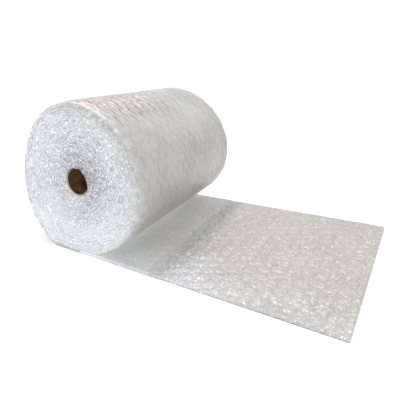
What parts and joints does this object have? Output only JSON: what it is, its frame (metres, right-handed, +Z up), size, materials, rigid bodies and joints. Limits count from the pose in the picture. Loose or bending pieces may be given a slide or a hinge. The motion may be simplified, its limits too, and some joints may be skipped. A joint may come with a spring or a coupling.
{
  "type": "bubble wrap roll",
  "caption": "Roll of clear air-bubble cushioning film wound on a cardboard core, lying on its side with a flat length of the wrap run out along the floor.",
  "frame": {"origin": "the point of the floor straight below the middle of the roll's axis", "axes": "+Z up, +Y along the roll's axis, +X the way the loose end runs out"},
  "size_m": [0.6172, 0.375, 0.286],
  "materials": {
    "core_board": "uncoated brown spiral-wound board",
    "bubble_film": "clear polyethylene film, glossy and slightly milky where turns lie on each other"
  },
  "bodies": {
    "root": {"core_tube": "core_board", "bubble_wrap": "bubble_film"}
  },
  "joints": []
}
